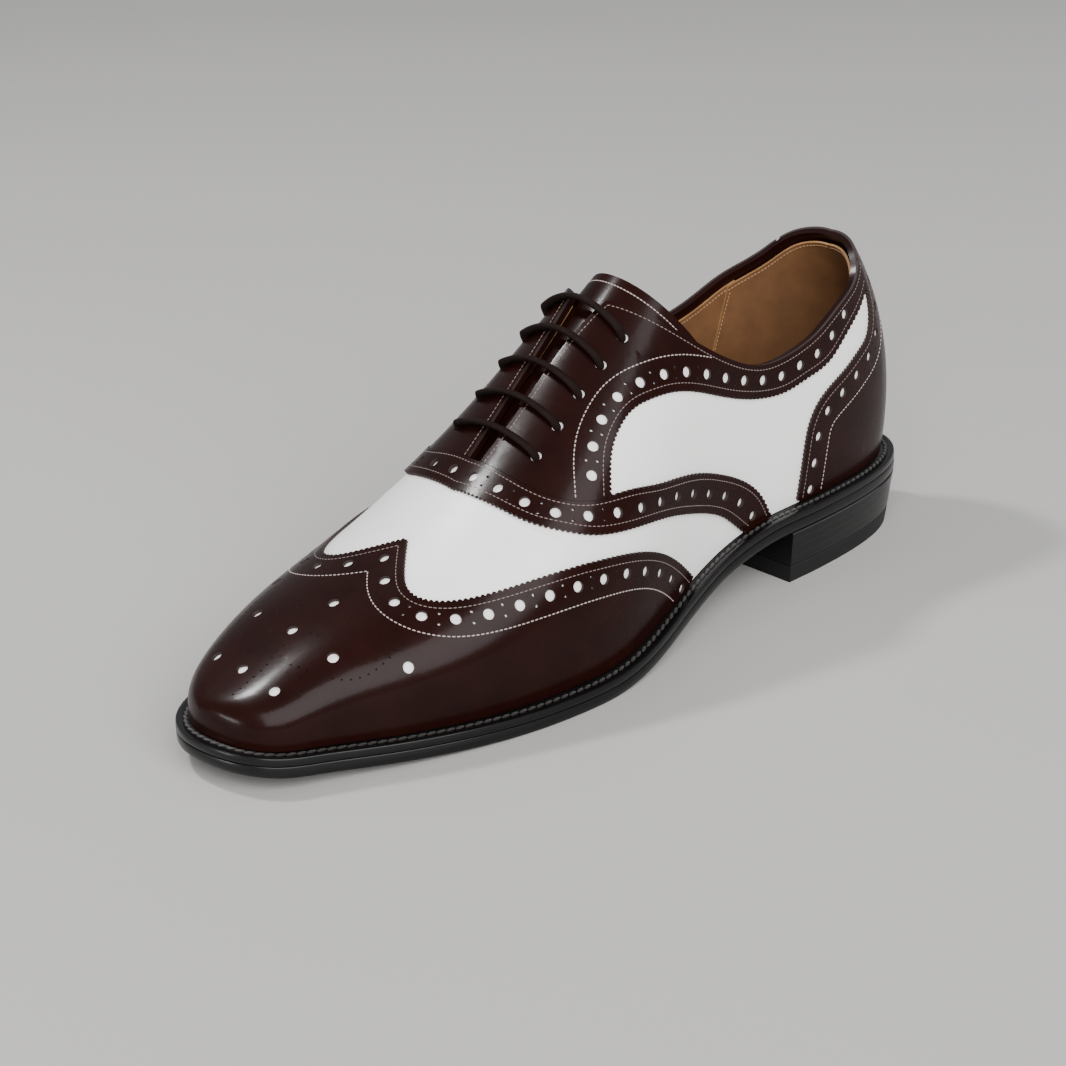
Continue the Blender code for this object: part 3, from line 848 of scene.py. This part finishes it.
def makeStrap():
    front = traced(strap["front"], True)
    back = traced(strap["back"], True)
    middle = (front[len(front) // 2] + back[len(back) // 2]) / 2
    border = back[:, 1] / pattern["across"] < strap["facingEnd"]
    backTeeth = pinked(back[~border], middle, brogue["sideTooth"], brogue["sideTooth"])
    backEdge = np.vstack([back[border], backTeeth])
    frontEdge = pinked(front, middle, brogue["frontTooth"], brogue["sideTooth"])
    foot = straight(frontEdge[-1], backEdge[-1])
    half = np.vstack([frontEdge, foot, backEdge[::-1]])
    outline = np.vstack([half, mirrored(half[::-1])])
    outline = outline[np.append(True, np.linalg.norm(np.diff(outline, axis=0), axis=1) > strap["weld"])]
    share = np.linspace(0, 1, strap["samples"])
    centreLine = sum(pointsAt(share, np.linspace(0, 1, len(line)), line) for line in (front, back)) / 2
    holes = bothSides(brogueHoles(centreLine, strap["firstHole"], pitch=strap["holePitch"]))
    height = brogue["lift"] + strap["thickness"]
    for line, distance in ((front, brogue["edgeStitch"]), (back, strap["backStitch"])):
        row = rightOfRidge(extended(inset(line, distance, middle), brogue["runOn"], brogue["runOn"]))
        addRow(row, height, "greyThread")
    cutPanel("throatStrap", [outline], holes, strap["thickness"], "throat_strap")


makeStrap()


# Facings with the band that runs on below the top line to the back of the shoe
facing = {
    "band": ((17, 50.5), (27, 55), (39.5, 60), (49.5, 64), (62, 66), (74, 67), (85, 66), (96.5, 63),
             (107.5, 58.5), (118, 53), (128, 47.5), (138, 42.5), (147, 39), (154, 39), (161, 43), (165, 49)),
    "backTop": 15.05,
    "inside": (140.0, 30.0),
    "bandWidth": 11.0,
    "firstHole": 6.0,
    "lastHole": 10.0,
    "edgeStitch": 1.7,
    "rowEnd": 0.8,
    "eyelets": ((137.5, 24.0), (147.5, 22.8), (157.5, 21.8), (167.5, 21.5), (177.0, 21.2)),
    "below": (75.0, 80.0),   # a place on the collar's lower side
    "seam": 0.22,            # from the strap's edge
    "over": 0.1,             # degrees past the edge of the upper
    "samples": (400, 200, 60),   # along the collar, the lacing and the strap
}


def freeEdge():
    # collar and lacing edge of the lateral facing, from the back to the throat
    end = float(strapBack(last["lacing"][-1][1])) - facing["seam"]
    collar = np.linspace(facing["backTop"], facingTop, facing["samples"][0])
    x = np.concatenate([collar[:-1], np.linspace(facingTop, end, facing["samples"][1])])
    return evenly(toPattern(x, topPsi(x) - facing["over"]), brogue["traceStep"])


def makeFacing(name, side, node):
    edge = traced(facing["band"], False)[::-1]
    inside = toPattern(*facing["inside"])
    top = freeEdge()
    psi = np.linspace(top[-1, 1] / pattern["across"], strap["facingEnd"], facing["samples"][2])
    border = toPattern(strapBack(psi) - facing["seam"], psi)
    teeth = pinked(edge, inside, brogue["frontTooth"], brogue["sideTooth"])
    outline = np.vstack([teeth, straight(teeth[-1], top[0]), top, border[1:-1]])
    row = inset(edge, facing["bandWidth"] / 2, inside)
    holes = brogueHoles(row, facing["firstHole"], facing["lastHole"])
    holes += [(toPattern(*place), "eyelet") for place in facing["eyelets"]]
    for distance, tone in ((brogue["edgeStitch"], "greyThread"), (facing["bandWidth"], "paleThread")):
        line = extended(inset(edge, distance, inside), brogue["runOn"], 0)
        x, psi = fromPattern(line)
        free = psi > topPsi(x) + facing["edgeStitch"]
        addRow(line[free & (x < strapBack(psi) - facing["rowEnd"])], panelTop, tone, (side,))
    addRow(inset(top, facing["edgeStitch"], toPattern(*facing["below"])), panelTop, "greyThread", (side,))
    if side < 0:
        outline = mirrored(outline)
        holes = [(mirrored(uv), kind) for uv, kind in holes]
    cutPanel(name, [outline], holes, brogue["thickness"], node)


makeFacing("lateralFacing", 1, "facing_lateral")
makeFacing("medialFacing", -1, "facing_medial")


# Heel counter with its strip up the back seam
counter = {
    "edge": ((15, 73), (16.5, 66), (18, 60), (20.5, 54), (24, 49.5), (29, 46.5), (34, 44.3), (39, 42),
             (44, 40), (49, 38), (53, 36), (57, 33), (60, 29), (62.5, 22), (64.5, 10), (66, 1.0)),
    "inside": (20.0, 70.0),
    "band": 12.0,
    "firstHole": 7.5,
    "backReach": 6.0,
    "corner": 8,             # points each way over which the inner row rounds its corner
    "samples": (600, 20),    # along the edge and along the top
}


def makeCounter():
    height = spline(counter["edge"])
    x = np.linspace(counter["edge"][0][0], counter["edge"][-1][0], counter["samples"][0])
    edge = evenly(toPattern(x, psiAtHeight(x, height(x))), brogue["traceStep"])
    inside = toPattern(*counter["inside"])
    x = fromTau(np.linspace(0, tau(counter["edge"][0][0]), counter["samples"][1]))
    top = toPattern(x, collarPsi(x) - facing["over"])
    teeth = pinked(edge, inside, brogue["frontTooth"], brogue["frontTooth"])
    foot = footLine(counter["edge"][-1][0], 0.0)
    half = np.vstack([top[:-1], teeth, foot[1:]])
    row = inset(edge, counter["band"] / 2, inside)
    holes = bothSides(brogueHoles(row, counter["firstHole"]))
    addRow(inset(edge, brogue["edgeStitch"], inside), panelTop, "greyThread")
    inner = extended(eased(inset(edge, counter["band"], inside), counter["corner"]), 0, brogue["runOn"])
    addRow(inner[fromPattern(inner)[0] > counter["backReach"]], panelTop, "paleThread")
    cutPanel("heelCounter", [half, mirrored(half)], holes, brogue["thickness"], "counter")


makeCounter()


# Upper: white vamp and quarters, one wall from the welt to its free edge
upper = {
    "columns": (70, 34, 40, 60),     # along the collar, its rise to the facing, the lacing and the vamp
    "rows": 44,
    "dyedAbove": 0.95,       # shares of the way up where the brown edge and the tan inside begin and end
    "tanBelow": 0.92,
    "dyedSeam": 1.5,         # half width of the brown strip under the seam of strap and facing
    # soft bending creases over the vamp as (x on the ridge, depth, half width, reach in degrees)
    "creases": ((199.5, 0.42, 2.4, 46), (206.0, 0.32, 2.0, 38), (211.5, 0.18, 1.8, 24)),
    "creaseBow": 0.006,
    "bank": 0.35,            # height of a crease's banks by its depth, and how many half widths away they lie
    "bankAway": 2.0,
}


def creaseDepth(x, psi):
    # troughs that bow back down the sides, each with a low ridge on both banks
    total = np.zeros_like(x)
    for middle, depth, half, reach in upper["creases"]:
        away = (x - middle + upper["creaseBow"] * psi**2) / half
        fade = np.clip(1 - (psi / reach)**2, 0, 1)
        bank = upper["bank"] * np.exp(-(np.abs(away) - upper["bankAway"])**2)
        total += depth * fade * (np.exp(-away**2) - bank)
    return total


def makeUpper():
    corners = [tau(x) for x in (0, last["collarTurn"], facingTop, last["throat"], last["length"])]
    runs = [np.linspace(a, b, n + 1)[1:] for a, b, n in zip(corners, corners[1:], upper["columns"])]
    xs = fromTau(np.concatenate([[0], *runs]))
    half = len(xs) - 1

    def surface(s, t):
        around = (s * 2 - 1) * half
        x = np.interp(np.abs(around), np.arange(half + 1), xs)
        psi = 90 + (topPsi(x) - 90) * t
        return x, sideOf(around) * psi

    bm = bmesh.new()
    sLayer = bm.verts.layers.float.new("s")
    tLayer = bm.verts.layers.float.new("t")
    bmesh.ops.create_grid(bm, x_segments=2 * half, y_segments=upper["rows"], size=0.5)
    for vert in bm.verts:
        vert[sLayer], vert[tLayer] = vert.co.x + 0.5, vert.co.y + 0.5

    def laid(verts, lift):
        st = np.array([(v[sLayer], v[tLayer]) for v in verts])
        x, psi = surface(st[:, 0], st[:, 1])
        depth = lift - creaseDepth(x, psi) if lift == 0 else np.full_like(x, lift)
        return lastPoint(x, psi) + depth[:, None] * lastNormal(x, psi)

    moveTo(bm.verts, laid(bm.verts, 0.0))
    bmesh.ops.remove_doubles(bm, verts=bm.verts, dist=bench["weld"])
    faceAway(bm)
    outer = set(bm.faces)
    inner = thicken(bm, bm.faces[:], lambda verts: laid(verts, -last["wall"]))
    bm.verts.index_update()
    s, t = np.array([(v[sLayer], v[tLayer]) for v in bm.verts]).T
    places = np.column_stack([*surface(s, t), t])
    for face in bm.faces:
        x, psi, t = places[[v.index for v in face.verts]].mean(0)
        atEdge = x < last["throat"] and t > upper["dyedAbove"]
        atSeam = abs(psi) < strap["facingEnd"] and abs(x - strapBack(abs(psi))) < upper["dyedSeam"]
        if face in outer:
            face.material_index = 1 if atEdge or atSeam else 0
        else:
            face.material_index = 2 if face in inner and t < upper["tanBelow"] else 1
    addPiece(bm, "vampAndQuarters", ("white", "brown", "tan"), "white_leather", "upper")


makeUpper()


# Lining: a back piece and a front piece, pared at the top a little below the turned edge
lining = {
    "below": 3.2,
    "depth": 2.05,
    "thickness": 0.8,
    "clear": 0.05,
    "inside": (60.0, 80.0),
    "seam": 40.0,            # front edge of the back piece at the top
    "lean": 23.0,            # how far that edge leans forward to the foot
    "lap": 4.0,
    "front": 184.0,
    "foot": 88.5,
    "lacingBelow": 1.7,
    "backColumns": 100,
    "frontColumns": 110,
    "rows": 30,
    "samples": 500,
    "stitchBelow": 1.3,
    "stitchUnder": 0.1,
    "seamStitch": 1.6,
    "seamSpan": (0.15, 0.97, 80),    # shares of the way up where the seam's row runs, and its samples
}


def liningLine(below):
    # line round the collar, so many millimetres below its edge
    x = fromTau(np.linspace(0, tau(facingTop), lining["samples"]))
    collar = evenly(toPattern(x, collarPsi(x)), brogue["traceStep"])
    return inset(collar, below, toPattern(*lining["inside"]))


liningEdge = liningLine(lining["below"])


def liningTop(at):
    x, psi = fromPattern(liningEdge)
    order = np.argsort(x)
    lacing = topPsi(at) + lining["lacingBelow"]
    return np.where(at > x.max(), lacing, np.maximum(np.interp(at, x[order], psi[order]), lacing))


def makeLining(name, side, depth):
    # side is 1 or -1 for the front pieces, and 0 for the back piece that wraps the heel
    frontFrom, frontTo = tau(lining["seam"] - lining["lap"]), tau(lining["front"])

    def shape(s, t):
        around = frontFrom + (frontTo - frontFrom) * s
        if side == 0:
            around = (s * 2 - 1) * tau(lining["seam"] + lining["lean"] * (1 - t))
        x = fromTau(np.abs(around))
        psi = lining["foot"] + (liningTop(x) - lining["foot"]) * t
        psi = psi * (side or sideOf(around))
        return lastPoint(x, psi) - depth * lastNormal(x, psi)

    bm = bendGrid(lining["frontColumns"] if side else lining["backColumns"], lining["rows"], shape)
    faceAway(bm)
    bmesh.ops.reverse_faces(bm, faces=bm.faces)
    outside = set(bm.faces)
    inner = backed(bm, lining["thickness"])
    for face in bm.faces:
        face.material_index = 0 if face in inner or face in outside else 1
    addPiece(bm, name, ("tan", "tanEdge"), "tan_leather")


makeLining("backLining", 0, lining["depth"] + lining["thickness"] + lining["clear"])
makeLining("frontLiningLateral", 1, lining["depth"])
makeLining("frontLiningMedial", -1, lining["depth"])


# Tongue under the facings, its rounded top standing above them
tongue = {"top": 126.0, "foot": 204.0, "topPsi": 54.0, "footPsi": 34.0, "crown": 22.5, "depth": 3.2,
          "thickness": 1.8, "stitch": 2.6, "stitchSpan": (0.03, 0.97, 200), "columns": 48, "rows": 60}


def tonguePlace(s, t):
    share = s * 2 - 1
    top = tongue["top"] - tongue["crown"] * share**2
    psi = tongue["topPsi"] + (tongue["footPsi"] - tongue["topPsi"]) * t
    return top + (tongue["foot"] - top) * t, share * psi


def makeTongue():
    def shape(s, t):
        x, psi = tonguePlace(s, t)
        return lastPoint(x, psi) - tongue["depth"] * lastNormal(x, psi)

    bm = bendGrid(tongue["columns"], tongue["rows"], shape)
    faceAway(bm)
    back = backed(bm, -tongue["thickness"])
    for face in bm.faces:
        face.material_index = 1 if face in back else 0
    addPiece(bm, "calfTongue", ("brown", "tan"), "brown_leather", "tongue")
    share = np.linspace(*tongue["stitchSpan"])
    x, psi = tonguePlace(share, np.zeros_like(share))
    row = evenly(toPattern(x + tongue["stitch"], psi), brogue["traceStep"])
    addRow(row, -tongue["depth"], "paleThread", (1,))


makeTongue()


# Insole, welt, outsole and heel: rings of points round the sole's plan
def ring(columns, rows, level, scale=None):
    # rows are (mm beyond the sole's edge, height), and where the first and last stay open they are filled
    outs, heights = np.array(rows, float).T

    def shape(s, t):
        k = np.rint(t * (len(rows) - 1)).astype(int)
        around = s * 2 - 1
        x = fromTau(np.abs(wrapped(around)))
        flat = loopPoint(around, outs[k] + soleEdge(x))
        if scale:
            pin = np.array([last["heelBreast"], 0.0])
            flat = pin + (flat - pin) * scale(heights[k])[:, None]
        return np.column_stack([flat, level(flat[:, 0]) + heights[k]])

    bm = bendGrid(columns, len(rows) - 1, shape)
    openEdges = [e for e in bm.edges if e.is_boundary]
    above = [e.verts[0].co.z - level(e.verts[0].co.x) for e in openEdges]
    for height in {heights[0], heights[-1]}:
        rim = [e for e, z in zip(openEdges, above) if abs(z - height) < last["gap"] / 2]
        if rim:
            fill(bm, rim)
    return bm


def makeSolePiece(name, piece, level, finish, slot, node):
    addPiece(ring(piece["columns"], piece["rows"], level), name, (finish,), slot, node)


# rows in each of these are what ring() takes
insole = {"columns": 200, "rows": ((-9.3, 0.0), (-9.3, 1.9), (-9.9, 2.5), (-18.3, 2.6))}
welt = {
    "columns": 420,
    "rows": ((-11.0, 0.0), (-4.3, 0.0), (-3.9, -0.3), (-2.3, -0.3), (-1.9, 0.0), (-0.8, 0.05), (-0.2, -0.15),
             (0.0, -0.5), (0.05, -1.4), (0.05, -2.4), (-0.1, -2.6), (-11.0, -2.6), (-11.0, 0.0)),
    "stitchOut": -3.1,
    "stitchPitch": 3.1,
    "stitch": (1.15, 0.75, 3.4),
    "stitchSunk": 0.05,
    "slant": 14.0,
    "samples": 4000,
}
outsole = {
    "columns": 420,
    "rows": ((-9.0, 3.8), (-0.1, 3.8), (0.05, 3.6), (0.1, 2.0), (0.0, 0.7), (-0.3, 0.2), (-0.9, 0.0),
             (-4.7, 0.0), (-5.0, 0.3), (-5.3, 0.0), (-9.0, 0.0)),
}
heel = {"columns": 260, "lifts": 4, "groove": 0.05, "round": 0.35, "bulge": 0.04, "cut": 0.0001}


def heelScale(z):
    return last["heelTaper"] + (1 - last["heelTaper"]) * z / last["heelHeight"]


def makeHeelSlice(name, low, high, lifts, finish, slot, node):
    rows = [(-heel["round"], high)]
    step = (high - low) / lifts
    for k in range(lifts):
        top = high - k * step
        dip = heel["round"] if k == 0 else heel["groove"]
        rows += [(0.0, top - dip), (heel["bulge"], top - step / 2)]
        rows += [(0.0, top - step + heel["groove"]), (-heel["groove"], top - step)]
    rows[-1] = (-heel["round"], low)
    bm = ring(heel["columns"], rows, lambda x: 0 * x, heelScale)
    cut = bmesh.ops.bisect_plane(bm, geom=bm.verts[:] + bm.edges[:] + bm.faces[:], dist=heel["cut"],
                                 plane_co=(last["heelBreast"], 0, 0), plane_no=(1, 0, 0), clear_outer=True)
    rim = [g for g in cut["geom_cut"] if isinstance(g, bmesh.types.BMEdge)]
    fill(bm, rim, (1, 0, 0))
    addPiece(bm, name, (finish,), slot, node)


makeSolePiece("sockAndInsole", insole, lambda x: weltTop(x) + last["gap"], "tan", "tan_leather", "insole")
makeSolePiece("flatWelt", welt, weltTop, "black", "sole_edge", "welt")
makeSolePiece("leatherOutsole", outsole, soleBottom, "black", "sole_edge", "outsole")
makeHeelSlice("stackedHeel", last["topPiece"] + last["gap"], last["heelHeight"] - last["gap"], heel["lifts"],
              "black", "heel_leather", "heel_stack")
makeHeelSlice("heelTopPiece", 0.0, last["topPiece"], 1, "rubber", "heel_rubber", "heel_top_piece")


# Lace: five straight bars that dive into the eyelets
lace = {"width": 1.72, "height": 1.65, "sink": 1.2, "dive": 3.0, "past": 0.7, "columns": 72, "sides": 14}


def makeLaceBar(row, x, end):
    lift = panelTop + lace["height"]

    def shape(s, t):
        perDegree = np.linalg.norm(lastPoint(x, end) - lastPoint(x, 0.0)) / end
        reach = end + lace["past"] / perDegree
        psi = reach * (1 - 2 * s)
        place = np.full_like(psi, x)
        fromEnd = (reach - np.abs(psi)) * perDegree
        rise = softStep(np.clip(fromEnd / lace["dive"], 0, 1))
        normal = lastNormal(place, psi)
        heart = lastPoint(place, psi) + (lift - (lift + lace["sink"]) * (1 - rise))[:, None] * normal
        angle = 2 * np.pi * t
        sideways = np.tile((1.0, 0.0, 0.0), (len(psi), 1))
        steep = (1 - rise)[:, None]
        inward = np.cross(normal, sideways) * np.sign(psi + 1e-9)[:, None]
        upward = unit(normal * (1 - steep) + inward * steep)
        return (heart + lace["width"] * np.cos(angle)[:, None] * sideways
                + lace["height"] * np.sin(angle)[:, None] * upward)

    bm = bendGrid(lace["columns"], lace["sides"], shape)
    bmesh.ops.holes_fill(bm, edges=[e for e in bm.edges if e.is_boundary])
    addPiece(bm, f"laceBar{row}", ("lace",), "waxed_lace", f"lace_bar_{row}")


for row, (x, end) in enumerate(facing["eyelets"], 1):
    makeLaceBar(row, x, end)


# Thread: each stitch a small flattened bead, sunk a little into the leather
thread = {"pitch": 1.5, "sunk": 0.04, "paleThread": (0.46, 0.42, 1.2), "greyThread": (0.36, 0.34, 1.25),
          "beadSides": 6, "beadRings": 4, "fewest": 3}


def makeBead():
    bm = bmesh.new()
    bmesh.ops.create_uvsphere(bm, u_segments=thread["beadSides"], v_segments=thread["beadRings"],
                              radius=0.5)
    return meshFrom(bm, "threadBead")


threadBead = makeBead()


def addStitch(bm, place, run, normal, size):
    # copy of the bead, its width, height and length turned across, up from and along the row
    axes = [axis * full for axis, full in zip((np.cross(normal, run), normal, run), size)]
    bead = threadBead.copy()
    bead.transform(Matrix([(*[axis[k] for axis in axes], place[k]) for k in range(3)] + [(0, 0, 0, 1)]))
    bm.from_mesh(bead)
    bpy.data.meshes.remove(bead)


def sewRow(bm, row, height, size):
    run, across, normal = frameAlong(row)
    for stitch in zip(onLast(row, height), run, normal):
        addStitch(bm, *stitch, size)


def makeStitches(name, tone):
    bm = bmesh.new()
    for line, height in stitchLines[tone]:
        row = evenly(line, thread["pitch"], thread["pitch"] / 2)
        if len(row) >= thread["fewest"]:
            sewRow(bm, row, height - thread["sunk"], thread[tone])
    addPiece(bm, name, (tone,), "waxed_lace")


def makeWeltStitches():
    bm = bmesh.new()
    around = np.linspace(-1, 1, welt["samples"])
    x = fromTau(np.abs(around))
    line = loopPoint(around, welt["stitchOut"] + soleEdge(x))
    line = np.column_stack([line, weltTop(line[:, 0]) - welt["stitchSunk"]])
    length = lengthAlong(line)
    count = int(length[-1] / welt["stitchPitch"])
    at = (np.arange(count) + 0.5) * length[-1] / count
    place = pointsAt(at, length, line)
    run = unit(np.roll(place, -1, 0) - np.roll(place, 1, 0))
    slant = np.radians(welt["slant"])
    for p, r in zip(place, run):
        side = np.array([-r[1], r[0], 0.0])
        turned = r * np.cos(slant) + side * np.sin(slant)
        normal = np.cross(turned, np.cross((0, 0, 1), turned))
        addStitch(bm, p, unit(turned), unit(normal), welt["stitch"])
    addPiece(bm, "weltStitches", ("darkThread",), "sole_edge")


def makeLiningStitches():
    bm = bmesh.new()
    collarRow = liningLine(lining["below"] + lining["stitchBelow"])
    top = np.interp(lining["seam"], *fromPattern(liningEdge))
    tall = lining["foot"] - top

    def seamAt(share):
        return lining["seam"] + lining["lean"] * (1 - share)

    share = np.linspace(*lining["seamSpan"])
    seamRow = toPattern(seamAt(share) - lining["seamStitch"], lining["foot"] - tall * share)
    depth = lining["depth"] + lining["thickness"] + lining["stitchUnder"]
    for line in (collarRow, mirrored(collarRow), seamRow, mirrored(seamRow)):
        row = evenly(line, thread["pitch"], thread["pitch"] / 2)
        x, psi = fromPattern(row)
        onBack = x < seamAt((lining["foot"] - np.abs(psi)) / tall)
        sewRow(bm, row, -depth - np.where(onBack, lining["thickness"], 0.0), thread["paleThread"])
    addPiece(bm, "liningStitches", ("tanThread",), "tan_leather")


makeStitches("innerRowStitches", "paleThread")
makeStitches("edgeRowStitches", "greyThread")
makeWeltStitches()
makeLiningStitches()


# Studio: a pale floor and soft lights
studio = {
    # matt floor paint: even and pale, with a broad mottle
    "floor": {"dark": "#a5a3a1", "light": "#aaa8a6", "drift": (400.0, 2.0, 0.5),
              "shader": {"Roughness": 0.6}},
    "floorSize": 9.0,
    "world": "#cbcccf",
    "worldStrength": 0.6,
    "lights": (
        # name, place in metres, aim in metres, size in metres, watts
        ("backBox", (0.37, -0.74, 1.3), (0.1, 0.0, 0.04), (0.16, 0.15), 15.0),
        ("frontBox", (1.0, 2.1, 1.75), (0.0, 0.0, 0.04), (3.6, 2.4), 195.0),
        ("toeBox", (1.3, -0.24, 0.17), (0.14, 0.0, 0.02), (0.36, 0.2), 4.0),
        ("heelBox", (-1.3, 0.5, 0.8), (-0.1, 0.0, 0.06), (0.6, 0.9), 4.0),
    ),
}


def makeStudio():
    bm = bmesh.new()
    bmesh.ops.create_grid(bm, x_segments=1, y_segments=1, size=studio["floorSize"])
    mesh = meshFrom(bm, "paleFloor")
    mesh.materials.append(makeFinish("palePaintedFloor", studio["floor"]))
    placed("paleFloor", mesh)
    world = bpy.data.worlds.new("softRoom")
    world.use_nodes = True
    sky = world.node_tree.nodes["Background"]
    sky.inputs["Color"].default_value = srgb(studio["world"])
    sky.inputs["Strength"].default_value = studio["worldStrength"]
    bpy.context.scene.world = world
    for name, place, aim, size, power in studio["lights"]:
        data = bpy.data.lights.new(name, "AREA")
        data.shape = "RECTANGLE"
        data.size, data.size_y = size
        data.energy = power
        light = placed(name, data)
        light.location = place
        light.rotation_euler = (Vector(aim) - Vector(place)).to_track_quat("-Z", "Y").to_euler()


makeStudio()
print("studio set")
